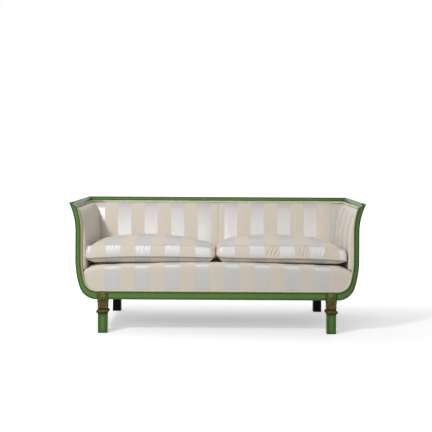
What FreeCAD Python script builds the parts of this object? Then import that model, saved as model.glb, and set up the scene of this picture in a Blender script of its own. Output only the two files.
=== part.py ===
import FreeCAD, Part
import math
import os

# Upholstered settee: painted show frame, gilt leg mounts, sprung seat and two loose cushions.
# Millimetres. +X is to the right seen from the front, +Y to the back, +Z up, floor at Z = 0.

V = FreeCAD.Vector

# Overall size
width = 1760.0  # across the flared arm tips
depth = 760.0  # front of the leg collars to the back of the frame
height = 770.0  # floor to the top of the rails
fit = 0.2  # gap between pieces that are fitted round one another
soft_gap = 0.3  # gap between a loose cushion and what it lies on

# Front legs and their gilt mounts, from the floor up
leg_width = 54.0
leg_inset = 163.0  # from the side of the settee to the centre of a leg
shaft_height = 112.0
panel_width = 32.0
panel_margin = 9.0
panel_depth = 2.0
neck_height = 6.0
core_width = 44.0
collar_width = 72.0
collar_height = 20.0
collar_round = 8.0
collar_gap = 2.0
capital_height = 58.0
capital_foot_width = 56.0
capital_head_width = 63.0
capital_lip = 7.0
block_width = 56.0
block_proud = 2.0
plate_width = 50.0
plate_height = 42.0
plate_thickness = 1.5
rosette_width = 34.0
rosette_rim = 2.0
rosette_dome = 3.0
leg_round = 2.0

# Show frame
rail_height = 46.5
frame_depth = 50.0
back_frame_depth = 28.0
side_rail_width = 44.0
stile_width = 31.5
stile_top_drop = 22.0
flare_out = 40.5  # how far the arm tips stand out from the sides
flare_height = 170.0
corner_run = 7.5  # straight stretch of the stile beside the leg
corner_height = 239.0  # rail bottom to the straight side
outer_ease = 20.5  # how far the eased upper part of the corner carries outwards
inner_ease = 16.0
bead_width = 6.5
bead_height = 2.5
bead_round = 1.8
rail_round = 3.0
top_rail_height = 27.0
arm_rail_width = 16.0

# Hidden frame
seat_rail_width = 28.0
seat_rail_height = 84.0
webbing_recess = 8.0  # show rail bottom to the bottom of the seat rails
stuffing_rail_height = 30.0
stuffing_rail_rise = 55.0  # above the show rail top
back_rail_depth = 20.0
back_upper_rail_height = 43.0
back_lower_rail_height = 36.0
back_lower_rail_rise = 40.0  # above the seat deck
back_post_width = 50.0
corner_block_leg = 80.0
corner_block_height = 50.0
corner_block_rise = 12.0
screw_offset = 24.0
screw_width = 5.0
screw_head_width = 10.0
screw_head_height = 4.0
screw_sunk = 10.0
screw_bite = 18.0
dowel_width = 10.0
dowel_bite = 26.0
dowel_margin = 15.0

# Springing
strap_width = 50.0
strap_thickness = 2.0
spring_columns = 6
spring_rows = 3
spring_margin = 95.0  # seat rail to the centre of the nearest spring
spring_end_radius = 42.0
spring_waist_radius = 27.0
spring_wire = 4.0
spring_turns = 5
hessian_thickness = 1.5
back_straps = 8
arm_straps = 2

# Upholstery
border_rise = 165.5  # show rail top to the middle of the seat's front edge
border_shoulder_drop = 15.0
border_end_drop = 44.0
border_shoulder_inset = 108.0
border_setback = 10.0
border_round = 22.0
deck_thickness = 60.0
arm_thickness = 61.5  # outer side to the inside arm
arm_hollow = 10.0  # outer side to the back of the arm pad
arm_roll_start = 255.0  # below the top, where the inside arm starts to roll outwards
arm_shoulder_out = 29.0
arm_shoulder_drop = 79.0
arm_strip_foot = 16.0  # arm pad front above the end of the border
back_recline = 18.0  # degrees
back_roll_radius = 60.0
back_bow = 6.0  # degrees between the lean of a back pad and its face at either end
back_draw_in = 12.0
back_swell_run = 60.0
welt_width = 9.0
cover_setback = 1.0
cover_thickness = 3.0
back_cover_setback = 5.0
dust_cover_thickness = 2.0
dust_cover_margin = 4.0

# Loose seat cushions
cushion_height = 146.0
cushion_lower_seam = 42.0
cushion_upper_seam = 108.0
cushion_setback = 15.0
cushion_side_gap = 3.0
cushion_back_gap = 2.0
cushion_between = 4.0
cushion_corner = 45.0
cushion_draw_in = 8.0
cushion_band_waist = 4.0
cushion_foot_inset = 60.0
cushion_crown_inset = 150.0
cushion_curve_steps = 3

# Places worked out from the sizes above
front_y = -depth / 2 + (collar_width - leg_width) / 2
back_y = depth / 2
back_frame_y = back_y - back_frame_depth
front_frame_back_y = front_y + frame_depth
rear_leg_y = back_y - leg_width
rail_bottom = shaft_height + neck_height + collar_height + collar_gap + capital_height
rail_top = rail_bottom + rail_height
top_rail_bottom = height - top_rail_height
side_x = width / 2 - flare_out
inner_side_x = side_x - stile_width
leg_x = side_x - leg_inset
block_in_x = leg_x - block_width / 2
block_out_x = leg_x + block_width / 2
corner_x = block_out_x + corner_run
flare_z = height - flare_height
flare_radius = (flare_height ** 2 + flare_out ** 2) / (2 * flare_out)
straight_z = rail_bottom + corner_height
seat_rail_bottom = rail_bottom + webbing_recess
seat_rail_top = seat_rail_bottom + seat_rail_height
side_rail_in_x = corner_x - side_rail_width
seat_inner_x = side_rail_in_x - seat_rail_width
seat_front_y = front_frame_back_y + seat_rail_width
seat_back_y = rear_leg_y - seat_rail_width
deck_top = rail_top + border_rise
deck_bottom = deck_top - deck_thickness
border_y = front_y + border_setback
arm_face_x = side_x - arm_thickness
welt_radius = welt_width / 2
welt_seat = welt_radius + fit
pad_top = top_rail_bottom - welt_width - fit
strap_y = back_frame_y - strap_thickness


def point(x, z):
    return V(x, 0, z)


def line(start, end):
    return Part.makeLine(start, end)


def arc(start, middle, end):
    return Part.Arc(start, middle, end).toShape()


def box(x0, x1, y0, y1, z0, z1):
    return Part.makeBox(x1 - x0, y1 - y0, z1 - z0, V(x0, y0, z0))


def polygon(points):
    return Part.Face(Part.makePolygon(points + points[:1]))


def face(edges):
    return Part.Face(Part.Wire(Part.__sortEdges__(edges)))


def prism(flat, y0, y1):
    # Extrudes a front-view face from one depth to another.
    lifted = flat.copy()
    lifted.translate(V(0, y0, 0))
    return lifted.extrude(V(0, y1 - y0, 0))


def mirrored(shape):
    return shape.mirror(V(0, 0, 0), V(1, 0, 0))


def tangent_arc(start, heading, end):
    # Arc in the front view that leaves start along heading.
    chord = end - start
    chord_heading = math.atan2(chord.z, chord.x)
    sagitta = chord.Length / 2 * math.tan((chord_heading - heading) / 2)
    across = V(math.sin(chord_heading), 0, -math.cos(chord_heading))
    return arc(start, (start + end) / 2 + across * sagitta, end)


def side_curve(base_z, inset, ease, start_x, top_z):
    # Right-hand side of the settee: bottom run, eased corner, straight side, outward flare.
    side = side_x - inset
    radius = side - corner_x - ease
    rise = straight_z - base_z - radius
    sweep = math.pi / 2 - 2 * math.atan2(ease, rise)
    ease_radius = radius + rise / math.cos(sweep)
    ease_half = (math.pi / 2 - sweep) / 2
    bend_z = base_z + radius
    bend_middle = point(corner_x + radius * math.sin(sweep / 2), bend_z - radius * math.cos(sweep / 2))
    bend_end = point(corner_x + radius * math.sin(sweep), bend_z - radius * math.cos(sweep))
    ease_middle = point(
        side - ease_radius * (1 - math.cos(ease_half)), straight_z - ease_radius * math.sin(ease_half)
    )
    turn_radius = flare_radius + inset
    turn = math.asin((top_z - flare_z) / turn_radius)
    turn_x = side_x + flare_radius
    turn_middle = point(
        turn_x - turn_radius * math.cos(turn / 2), flare_z + turn_radius * math.sin(turn / 2)
    )
    turn_end = point(turn_x - turn_radius * math.cos(turn), top_z)
    return [
        line(point(start_x, base_z), point(corner_x, base_z)),
        arc(point(corner_x, base_z), bend_middle, bend_end),
        arc(bend_end, ease_middle, point(side, straight_z)),
        line(point(side, straight_z), point(side, flare_z)),
        arc(point(side, flare_z), turn_middle, turn_end),
    ]


def outer_curve(inset, start_x, top_z):
    return side_curve(rail_bottom + inset, inset, outer_ease, start_x, top_z)


def inner_curve(inset, start_x, top_z):
    return side_curve(rail_top + inset, stile_width + inset, inner_ease, start_x, top_z)


def curve_end(edges):
    return edges[-1].Vertexes[-1].Point


def between(outer, inner):
    # Face between an outer and an inner side curve.
    start_line = line(outer[0].Vertexes[0].Point, inner[0].Vertexes[0].Point)
    end_line = line(curve_end(outer), curve_end(inner))
    return face(outer + inner + [start_line, end_line])


def inside(curve, top_z):
    # Face from the middle of the settee out to a side curve.
    start = curve[0].Vertexes[0].Point
    end = curve_end(curve)
    return face(curve + [line(end, point(start.x, top_z)), line(point(start.x, top_z), start)])


def flare_x(inset, z):
    turn_radius = flare_radius + inset
    return side_x + flare_radius - math.sqrt(turn_radius ** 2 - (z - flare_z) ** 2)


def rounded(solid, radius, wanted):
    # Rounds the edges whose middle passes the wanted test.
    edges = [e for e in solid.Edges if wanted(e.valueAt((e.FirstParameter + e.LastParameter) / 2), e)]
    return solid.makeFillet(radius, edges)


def is_long_top(middle, edge, way):
    # True for an edge along the top of a rail that runs in the given direction.
    return abs(middle.z - height) < fit and abs(edge.tangentAt(edge.FirstParameter).dot(way)) > 0.9


def runs_along_stile(middle, edge):
    # False for the edges across the two ends of a stile.
    across_top = middle.z > flare_z and edge.Curve.TypeId == "Part::GeomLine"
    return middle.x > block_out_x + fit and not across_top


def is_upright(edge):
    return abs(edge.tangentAt(edge.FirstParameter).z) > 0.9


# Show frame


def moulded_stile():
    outer = outer_curve(0, block_out_x, height)
    inner = inner_curve(0, block_out_x, height - stile_top_drop)
    stile = prism(between(outer, inner), front_y, front_frame_back_y)
    sunk_outer = outer_curve(bead_width, block_out_x, height - bead_width)
    sunk_inner = inner_curve(-bead_width, block_out_x, height - stile_top_drop - bead_width)
    sunk = prism(between(sunk_outer, sunk_inner), front_y, front_y + bead_height)
    return rounded(
        stile.cut(sunk), bead_round,
        lambda middle, edge: abs(middle.y - front_y) < fit and runs_along_stile(middle, edge),
    )


def rear_stile():
    outer = outer_curve(0, block_out_x, top_rail_bottom)
    inner = inner_curve(0, block_out_x, top_rail_bottom)
    return prism(between(outer, inner), back_frame_y, back_y)


def front_rail():
    rail = box(-block_in_x, block_in_x, front_y, front_frame_back_y, rail_bottom, rail_top)
    low = rail_bottom + bead_width
    high = rail_top - bead_width
    rail = rail.cut(box(-block_in_x, block_in_x, front_y, front_y + bead_height, low, high))
    return rounded(
        rail, bead_round,
        lambda middle, edge: abs(middle.y - front_y) < fit and abs(middle.x) < block_in_x - fit,
    )


def arm_top_rail():
    outer = outer_curve(0, block_out_x, height)
    inner = outer_curve(arm_rail_width, block_out_x, height)
    band = prism(between(outer, inner), front_frame_back_y, back_frame_y)
    rail = band.common(box(0, width, front_y, back_y, top_rail_bottom, height))
    return rounded(rail, rail_round, lambda middle, edge: is_long_top(middle, edge, V(0, 1, 0)))


def back_top_rail():
    half = prism(inside(outer_curve(0, 0, height), height), back_frame_y, back_y)
    rail = half.fuse(mirrored(half)).removeSplitter()
    rail = rail.common(box(-width, width, front_y, back_y, top_rail_bottom, height))
    return rounded(rail, rail_round, lambda middle, edge: is_long_top(middle, edge, V(1, 0, 0)))


def front_leg():
    middle_y = front_y + leg_width / 2
    half = leg_width / 2
    core = core_width / 2
    shaft = box(leg_x - half, leg_x + half, front_y, front_y + leg_width, 0, shaft_height)
    shaft = rounded(shaft, leg_round, lambda middle, edge: is_upright(edge))
    panel = box(
        leg_x - panel_width / 2, leg_x + panel_width / 2, front_y, front_y + panel_depth,
        panel_margin, shaft_height - panel_margin,
    )
    neck = box(leg_x - core, leg_x + core, middle_y - core, middle_y + core, shaft_height, rail_bottom)
    block = box(block_in_x, block_out_x, front_y - block_proud, front_frame_back_y, rail_bottom, rail_top)
    return shaft.cut(panel).fuse([neck, block]).removeSplitter()


def rear_leg():
    half = leg_width / 2
    post = box(leg_x - half, leg_x + half, rear_leg_y, back_y, 0, rail_bottom)
    post = rounded(post, leg_round, lambda middle, edge: is_upright(edge))
    block = box(block_in_x, block_out_x, rear_leg_y, back_y, rail_bottom, rail_top)
    return post.fuse(block).removeSplitter()


# Gilt mounts


def square(half, z):
    middle_y = front_y + leg_width / 2
    corners = [(-half, -half), (half, -half), (half, half), (-half, half)]
    return Part.makePolygon([V(leg_x + x, middle_y + y, z) for x, y in corners + corners[:1]])


def core_hole(z0, z1):
    half = core_width / 2 + fit
    middle_y = front_y + leg_width / 2
    return box(leg_x - half, leg_x + half, middle_y - half, middle_y + half, z0, z1)


def leg_collar():
    low = shaft_height + neck_height
    half = collar_width / 2
    middle_y = front_y + leg_width / 2
    ring = box(leg_x - half, leg_x + half, middle_y - half, middle_y + half, low, low + collar_height)
    ring = rounded(ring, collar_round, lambda middle, edge: not is_upright(edge))
    return ring.cut(core_hole(low, low + collar_height))


def leg_capital():
    foot = rail_bottom - capital_height
    lip = rail_bottom - capital_lip
    bell = Part.makeLoft(
        [square(capital_foot_width / 2, foot), square(capital_head_width / 2, lip)], True, True
    )
    head = Part.Face(square(capital_head_width / 2, lip)).extrude(V(0, 0, capital_lip))
    return bell.fuse(head).removeSplitter().cut(core_hole(foot, rail_bottom))


def rosette():
    half = rosette_width / 2
    plate_back = front_y - block_proud
    back = plate_back - plate_thickness
    rim = back - rosette_rim
    centre_z = rail_bottom + rail_height / 2
    radius = (half ** 2 + rosette_dome ** 2) / (2 * rosette_dome)
    turn = math.asin(half / radius) / 2
    crown = V(radius * math.sin(turn), rim - rosette_dome + radius * (1 - math.cos(turn)), 0)
    outline = [
        line(V(0, back, 0), V(half, back, 0)),
        line(V(half, back, 0), V(half, rim, 0)),
        arc(V(half, rim, 0), crown, V(0, rim - rosette_dome, 0)),
        line(V(0, rim - rosette_dome, 0), V(0, back, 0)),
    ]
    disc = face(outline).revolve(V(0, 0, 0), V(0, 1, 0), 360)
    disc.translate(V(leg_x, 0, centre_z))
    plate = box(
        leg_x - plate_width / 2, leg_x + plate_width / 2, back, plate_back,
        centre_z - plate_height / 2, centre_z + plate_height / 2,
    )
    return plate.fuse(disc).removeSplitter()


# Hidden frame


def seat_rail_across(y0):
    return box(-side_rail_in_x, side_rail_in_x, y0, y0 + seat_rail_width, seat_rail_bottom, seat_rail_top)


def seat_rail_along():
    return box(seat_inner_x, side_rail_in_x, seat_front_y, seat_back_y, seat_rail_bottom, seat_rail_top)


def side_rail():
    return box(side_rail_in_x, corner_x, front_frame_back_y, rear_leg_y, rail_bottom, rail_top)


def arm_stuffing_rail():
    low = rail_top + stuffing_rail_rise
    rail = box(0, width, front_frame_back_y, back_frame_y, low, low + stuffing_rail_height)
    stile = between(
        outer_curve(arm_hollow, block_out_x, top_rail_bottom), inner_curve(0, block_out_x, top_rail_bottom)
    )
    return rail.common(prism(stile, front_frame_back_y, back_frame_y))


def back_rail(low, high):
    opening = inside(inner_curve(0, 0, top_rail_bottom), top_rail_bottom)
    half = prism(opening, back_frame_y, back_frame_y + back_rail_depth)
    whole = half.fuse(mirrored(half)).removeSplitter()
    return whole.common(box(-width, width, front_y, back_y, low, high))


back_upper_low = top_rail_bottom - back_upper_rail_height
back_lower_low = deck_top + back_lower_rail_rise
back_lower_high = back_lower_low + back_lower_rail_height


def back_centre_post():
    half = back_post_width / 2
    return box(
        -half, half, back_frame_y, back_frame_y + back_rail_depth, back_lower_high, back_upper_low
    )


def corner_places():
    # Inner corners of the seat frame, with the directions into the frame.
    ends = ((seat_front_y, 1), (seat_back_y, -1))
    return [(sx * seat_inner_x, y, -sx, sy) for y, sy in ends for sx in (-1, 1)]


def corner_block(x, y, dx, dy):
    low = seat_rail_bottom + corner_block_rise
    corners = [
        V(x, y, low), V(x + dx * corner_block_leg, y, low), V(x, y + dy * corner_block_leg, low)
    ]
    return polygon(corners).extrude(V(0, 0, corner_block_height))


def corner_screws(x, y, dx, dy, gap, head_length):
    # One screw into each of the two rails, with its head sunk in the sloped face of the block.
    z = seat_rail_bottom + corner_block_rise + corner_block_height / 2
    reach = corner_block_leg - screw_offset - screw_sunk
    screws = []
    for place, axis, lift in (
        (V(x + dx * screw_offset, y, z), V(0, -dy, 0), screw_width),
        (V(x, y + dy * screw_offset, z), V(-dx, 0, 0), -screw_width),
    ):
        head = place - axis * reach + V(0, 0, lift)
        shank = Part.makeCylinder(screw_width / 2 + gap, reach + screw_bite, head, axis)
        cap = Part.makeCylinder(screw_head_width / 2 + gap, head_length, head - axis * head_length, axis)
        screws.append(shank.fuse(cap).removeSplitter())
    return screws


def dowels(gap):
    # Two dowels through each leg block, into the rail on one side and the stile on the other.
    pins = []
    start = block_in_x - dowel_bite
    length = block_width + 2 * dowel_bite
    middle_z = rail_bottom + rail_height / 2
    for sx in (-1, 1):
        for y0, y1 in ((front_y, front_frame_back_y), (back_frame_y, back_y)):
            for lift in (-1, 1):
                z = middle_z + lift * (rail_height / 2 - dowel_margin)
                place = V(sx * start, (y0 + y1) / 2, z)
                pins.append(Part.makeCylinder(dowel_width / 2 + gap, length, place, V(sx, 0, 0)))
    return pins


# Springing


def spread(low, high, count):
    return [low + (high - low) * i / (count - 1) for i in range(count)]


spring_foot = seat_rail_bottom
spring_head = deck_bottom - hessian_thickness
spring_xs = spread(-seat_inner_x + spring_margin, seat_inner_x - spring_margin, spring_columns)
spring_ys = spread(seat_front_y + spring_margin, seat_back_y - spring_margin, spring_rows)


def seat_webbing():
    half = strap_width / 2
    upper = seat_rail_bottom - strap_thickness
    lower = upper - strap_thickness
    cross = [
        box(x - half, x + half, front_frame_back_y, rear_leg_y, upper, seat_rail_bottom) for x in spring_xs
    ]
    along = [
        box(-side_rail_in_x, side_rail_in_x, y - half, y + half, lower, upper) for y in spring_ys
    ]
    return cross + along


def biarc(start, start_way, end, end_way):
    # Two arcs that leave start and reach end along the given unit directions.
    chord = end - start
    a = 2 * (1 - start_way.dot(end_way))
    b = 2 * chord.dot(start_way + end_way)
    reach = (-b + math.sqrt(b * b + 4 * a * chord.dot(chord))) / (2 * a)
    joint = (start + end + (start_way - end_way) * reach) / 2
    halves = ((start, start + start_way * reach, joint), (joint, end - end_way * reach, end))
    arcs = []
    for first, knee, last in halves:
        middle = (first + last) / 2
        half = math.acos((last - first).Length / 2 / reach)
        arcs.append(arc(first, middle + (knee - middle) * (math.tan(half / 2) / math.tan(half)), last))
    return arcs


def spring_point(t):
    # Middle of the wire; t runs from 0 at the foot to 1 at the head of an hourglass spring.
    swing = spring_end_radius - spring_waist_radius
    radius = spring_waist_radius + swing * (2 * t - 1) ** 2
    angle = 2 * math.pi * spring_turns * t
    low = spring_foot + spring_wire / 2
    high = spring_head - spring_wire / 2
    return V(radius * math.cos(angle), radius * math.sin(angle), low + (high - low) * t)


def spring_way(t):
    step = 1e-5
    way = spring_point(t + step) - spring_point(t - step)
    return way.normalize()


def coil_spring():
    spans = spring_turns * 4
    edges = []
    for i in range(spans):
        t0 = i / spans
        t1 = (i + 1) / spans
        edges += biarc(spring_point(t0), spring_way(t0), spring_point(t1), spring_way(t1))
    circle = Part.Circle(spring_point(0), spring_way(0), spring_wire / 2).toShape()
    return Part.Wire(edges).makePipeShell([Part.Wire(circle)], True, False)


def print_spring_gap():
    # Least gap between one turn of the wire and the next.
    steps_per_turn = 60
    steps = steps_per_turn * spring_turns
    places = [spring_point(i / steps) for i in range(steps + 1)]
    apart = steps_per_turn // 2
    least = min(
        (places[i] - places[j]).Length for i in range(steps + 1) for j in range(i + apart, steps + 1)
    )
    print("spring: least gap between turns", round(least - spring_wire, 2), "mm")


def seat_springs():
    spring = coil_spring()
    springs = []
    for x in spring_xs:
        for y in spring_ys:
            copy = spring.copy()
            copy.translate(V(x, y, 0))
            springs.append(copy)
    return springs


def spring_hessian():
    return box(
        -arm_face_x + fit, arm_face_x - fit, front_frame_back_y, strap_y,
        deck_bottom - hessian_thickness, deck_bottom,
    )


def back_webbing():
    half = strap_width / 2
    low = back_lower_low
    return [
        box(x - half, x + half, strap_y, back_frame_y, low, pad_top)
        for x in spread(-arm_face_x + strap_width, arm_face_x - strap_width, back_straps)
    ]


def arm_webbing():
    # Straps shared out over the straight part of the side.
    outer = side_x - arm_hollow
    room = (flare_z - straight_z) / arm_straps
    straps = []
    for i in range(arm_straps):
        low = straight_z + (i + 0.5) * room - strap_width / 2
        straps.append(
            box(
                outer, outer + strap_thickness, front_frame_back_y, back_frame_y, low, low + strap_width
            )
        )
    return straps


# Fixed upholstery


def seat_top_edges():
    # Arched top line of the seat, from the left stile to the right one.
    shoulder = point(inner_side_x - border_shoulder_inset, deck_top - border_shoulder_drop)
    radius = (shoulder.x ** 2 + border_shoulder_drop ** 2) / (2 * border_shoulder_drop)
    heading = -math.asin(shoulder.x / radius)
    end = point(inner_side_x, deck_top - border_end_drop)
    right = tangent_arc(shoulder, heading, end)
    crest = arc(point(-shoulder.x, shoulder.z), point(0, deck_top), shoulder)
    return [mirrored(right), crest, right]


def seat_front(low):
    # Front-view face under the arched top line, down to a level.
    edges = seat_top_edges()
    end_z = deck_top - border_end_drop
    edges.append(line(point(inner_side_x, end_z), point(inner_side_x, low)))
    edges.append(line(point(inner_side_x, low), point(-inner_side_x, low)))
    edges.append(line(point(-inner_side_x, low), point(-inner_side_x, end_z)))
    return face(edges)


def front_border():
    half = inside(inner_curve(0, 0, top_rail_bottom), top_rail_bottom)
    opening = prism(half, border_y, front_frame_back_y)
    opening = opening.fuse(mirrored(opening)).removeSplitter()
    roll = prism(seat_front(rail_top), border_y, front_frame_back_y)
    roll = rounded(
        roll, border_round,
        lambda middle, edge: abs(middle.y - border_y) < fit and middle.z > deck_top - border_end_drop,
    )
    return roll.common(opening)


def seat_deck():
    pad = prism(seat_front(deck_bottom), front_frame_back_y, strap_y)
    return pad.common(
        box(-arm_face_x + fit, arm_face_x - fit, front_y, back_y, deck_bottom, height)
    )


def arm_face_edges():
    # Inside arm in the front view: straight, then swelling and rolling out to the rail.
    foot = point(arm_face_x, rail_top)
    roll = point(arm_face_x, height - arm_roll_start)
    shoulder = point(arm_face_x + arm_shoulder_out, height - arm_shoulder_drop)
    top = point(flare_x(arm_rail_width, top_rail_bottom), pad_top)
    upright = math.pi / 2
    swell = tangent_arc(roll, upright, shoulder)
    way = shoulder - roll
    over = tangent_arc(shoulder, 2 * math.atan2(way.z, way.x) - upright, top)
    return [line(foot, roll), swell, over]


def beyond_arm_face(gap):
    # Front-view face from the inside arm outwards.
    edges = arm_face_edges()
    top = edges[-1].Vertexes[-1].Point
    far = width
    edges.append(line(top, point(far, top.z)))
    edges.append(line(point(far, top.z), point(far, rail_top)))
    edges.append(line(point(far, rail_top), edges[0].Vertexes[0].Point))
    region = face(edges)
    region.translate(V(gap, 0, 0))
    return region


def arm_pad():
    foot = rail_top + stuffing_rail_rise + stuffing_rail_height
    hull = inside(outer_curve(arm_hollow, 0, top_rail_bottom), top_rail_bottom)
    slab = box(0, width, front_y, back_y, foot, pad_top - fit)
    main = prism(hull.common(beyond_arm_face(0)), front_frame_back_y, back_frame_y - fit).common(slab)
    front = inside(inner_curve(0, 0, top_rail_bottom), top_rail_bottom).common(beyond_arm_face(0))
    edge = between(inner_curve(0, block_out_x, pad_top), inner_curve(welt_width, block_out_x, pad_top))
    low = deck_top - border_end_drop + arm_strip_foot
    strip = prism(front.fuse(edge).removeSplitter(), border_y, front_frame_back_y)
    strip = strip.common(box(0, width, front_y, back_y, low, pad_top))
    return main.fuse(strip).removeSplitter()


back_lean = math.radians(back_recline)
back_end_lean = math.radians(back_recline + back_bow)
roll_y = strap_y - back_roll_radius * math.cos(back_end_lean)
roll_z = pad_top - back_roll_radius * (1 - math.sin(back_end_lean))
back_foot_y = roll_y - (roll_z - deck_top) * math.tan(back_lean)


def back_face_edges(x, recess):
    # Side-view line of a back pad from its foot up to the rail, set back by a recess.
    shift = V(x, recess, 0)
    foot = V(0, back_foot_y, deck_top) + shift
    shoulder = V(0, roll_y, roll_z) + shift
    out = V(0, -math.cos(back_lean), math.sin(back_lean))
    crown = (shoulder - foot).Length / 2 * math.tan(math.radians(back_bow) / 2)
    swell = arc(foot, (foot + shoulder) / 2 + out * crown, shoulder)
    half = (math.pi / 2 - back_end_lean) / 2
    centre = V(0, strap_y, pad_top - back_roll_radius) + shift
    over = centre + V(0, -math.sin(half), math.cos(half)) * back_roll_radius
    top = centre + V(0, 0, back_roll_radius)
    return [swell, arc(shoulder, over, top)]


def back_section(x, recess):
    # Closed side-view outline of a back pad at one place across the settee.
    edges = back_face_edges(x, recess)
    back = back_y
    top = edges[-1].Vertexes[-1].Point
    foot = edges[0].Vertexes[0].Point
    edges.append(line(top, V(x, back, top.z)))
    edges.append(line(V(x, back, top.z), V(x, back, foot.z)))
    edges.append(line(V(x, back, foot.z), foot))
    return Part.Wire(edges)


def back_pad():
    inner = welt_seat
    sections = [
        back_section(inner, back_draw_in),
        back_section(inner + back_swell_run, 0),
        back_section(arm_face_x - back_swell_run, 0),
        back_section(arm_face_x, back_draw_in),
        back_section(width / 2, back_draw_in * 2),
    ]
    pad = Part.makeLoft(sections, True, True)
    pad = pad.common(box(0, width, front_y, strap_y, 0, height))
    return pad.cut(prism(beyond_arm_face(-fit), front_y, back_y))


# Outside covers


def outside_arm_cover():
    outer = outer_curve(cover_setback, block_out_x, top_rail_bottom)
    inner = outer_curve(cover_setback + cover_thickness, block_out_x, top_rail_bottom)
    outline = outer[1:] + inner[1:]
    outline.append(line(outer[1].Vertexes[0].Point, inner[1].Vertexes[0].Point))
    outline.append(line(curve_end(outer), curve_end(inner)))
    return prism(face(outline), front_frame_back_y, back_frame_y)


def outside_back_cover():
    opening = inside(inner_curve(0, 0, top_rail_bottom), top_rail_bottom)
    start = back_y - back_cover_setback - cover_thickness
    half = prism(opening, start, start + cover_thickness)
    return half.fuse(mirrored(half)).removeSplitter()


def dust_cover():
    top = seat_rail_bottom - 2 * strap_thickness
    half = side_rail_in_x - dust_cover_margin
    return box(
        -half, half, front_frame_back_y + dust_cover_margin, rear_leg_y - dust_cover_margin,
        top - dust_cover_thickness, top,
    )


# Welts


def pipe(edges):
    path = Part.Wire(edges)
    first = path.Edges[0]
    start = first.valueAt(first.FirstParameter)
    way = first.tangentAt(first.FirstParameter)
    ring = Part.Wire(Part.Circle(start, way, welt_radius).toShape())
    return path.makePipeShell([ring], True, False)


def front_welt():
    right = inner_curve(welt_seat, 0, pad_top)
    left = [mirrored(edge) for edge in right]
    whole = line(left[0].Vertexes[-1].Point, right[0].Vertexes[-1].Point)
    edges = Part.__sortEdges__(left[1:] + [whole] + right[1:])
    tube = pipe(edges)
    tube.translate(V(0, border_y - welt_seat, 0))
    return tube


def arm_welt():
    x = flare_x(arm_rail_width, top_rail_bottom)
    z = top_rail_bottom - welt_seat
    start = V(x, front_frame_back_y, z)
    return Part.makeCylinder(welt_radius, back_frame_y - fit - start.y, start, V(0, 1, 0))


def back_welt():
    half = flare_x(arm_rail_width, top_rail_bottom) - welt_width
    z = top_rail_bottom - welt_seat
    return Part.makeCylinder(welt_radius, 2 * half, V(-half, back_frame_y - welt_seat, z), V(1, 0, 0))


def back_centre_welt():
    tube = pipe(back_face_edges(0, back_draw_in))
    return tube.common(box(-welt_width, welt_width, front_y, strap_y, deck_top, pad_top))


# Loose cushions


def cushion_outline(x0, x1, y0, y1, z, inset):
    # Rounded outline whose four sides draw in between the corners.
    x0 += inset
    x1 -= inset
    y0 += inset
    y1 -= inset
    r = cushion_corner
    c = r * (1 - math.sqrt(0.5))
    d = cushion_draw_in
    middle_x = (x0 + x1) / 2
    middle_y = (y0 + y1) / 2
    stops = [
        ((x0 + r, y0), (middle_x, y0 + d), (x1 - r, y0), (x1 - c, y0 + c)),
        ((x1, y0 + r), (x1 - d, middle_y), (x1, y1 - r), (x1 - c, y1 - c)),
        ((x1 - r, y1), (middle_x, y1 - d), (x0 + r, y1), (x0 + c, y1 - c)),
        ((x0, y1 - r), (x0 + d, middle_y), (x0, y0 + r), (x0 + c, y0 + c)),
    ]
    edges = []
    for i, (start, side, end, corner) in enumerate(stops):
        following = stops[(i + 1) % len(stops)][0]
        edges.append(arc(V(*start, z), V(*side, z), V(*end, z)))
        edges.append(arc(V(*end, z), V(*corner, z), V(*following, z)))
    return Part.Wire(edges)


def seat_cushion():
    x0 = cushion_between / 2
    x1 = arm_face_x - cushion_side_gap
    y0 = front_y + cushion_setback
    y1 = back_foot_y - cushion_back_gap
    low = deck_top + soft_gap
    seam = low + cushion_lower_seam
    upper = low + cushion_upper_seam
    high = low + cushion_height
    turns = [math.pi / 2 * (i + 1) / cushion_curve_steps for i in range(cushion_curve_steps)]
    foot = [
        (seam - cushion_lower_seam * math.sin(turn), cushion_foot_inset * (1 - math.cos(turn)))
        for turn in reversed(turns)
    ]
    crown = [
        (upper + (high - upper) * math.sin(turn), cushion_crown_inset * (1 - math.cos(turn)))
        for turn in turns
    ]
    levels = foot + [(seam, 0), ((seam + upper) / 2, cushion_band_waist), (upper, 0)] + crown
    outlines = [cushion_outline(x0, x1, y0, y1, z, inset) for z, inset in levels]
    return Part.makeLoft(outlines, True, True)


# Assembly

pieces = {}


def pair(name, shape):
    pieces["right_" + name] = [shape]
    pieces["left_" + name] = [mirrored(shape)]


pieces["front_rail"] = [front_rail()]
pieces["rear_rail"] = [box(-block_in_x, block_in_x, back_frame_y, back_y, rail_bottom, rail_top)]
pieces["back_top_rail"] = [back_top_rail()]
pair("front_stile", moulded_stile())
pair("rear_stile", rear_stile())
pair("arm_top_rail", arm_top_rail())
pair("side_rail", side_rail())
pair("front_leg", front_leg())
pair("rear_leg", rear_leg())
pair("leg_collar", leg_collar())
pair("leg_capital", leg_capital())
pair("leg_rosette", rosette())
pieces["front_seat_rail"] = [seat_rail_across(front_frame_back_y)]
pieces["rear_seat_rail"] = [seat_rail_across(seat_back_y)]
pair("seat_rail", seat_rail_along())
pair("arm_stuffing_rail", arm_stuffing_rail())
pieces["back_upper_rail"] = [back_rail(back_upper_low, top_rail_bottom)]
pieces["back_lower_rail"] = [back_rail(back_lower_low, back_lower_high)]
pieces["back_centre_post"] = [back_centre_post()]
pieces["corner_blocks"] = [corner_block(*place) for place in corner_places()]
pieces["corner_block_screws"] = [
    screw for place in corner_places() for screw in corner_screws(*place, 0, screw_head_height)
]
pieces["rail_dowels"] = dowels(0)
pieces["seat_webbing"] = seat_webbing()
pieces["seat_springs"] = seat_springs()
pieces["spring_hessian"] = [spring_hessian()]
pieces["back_webbing"] = back_webbing()
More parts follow.
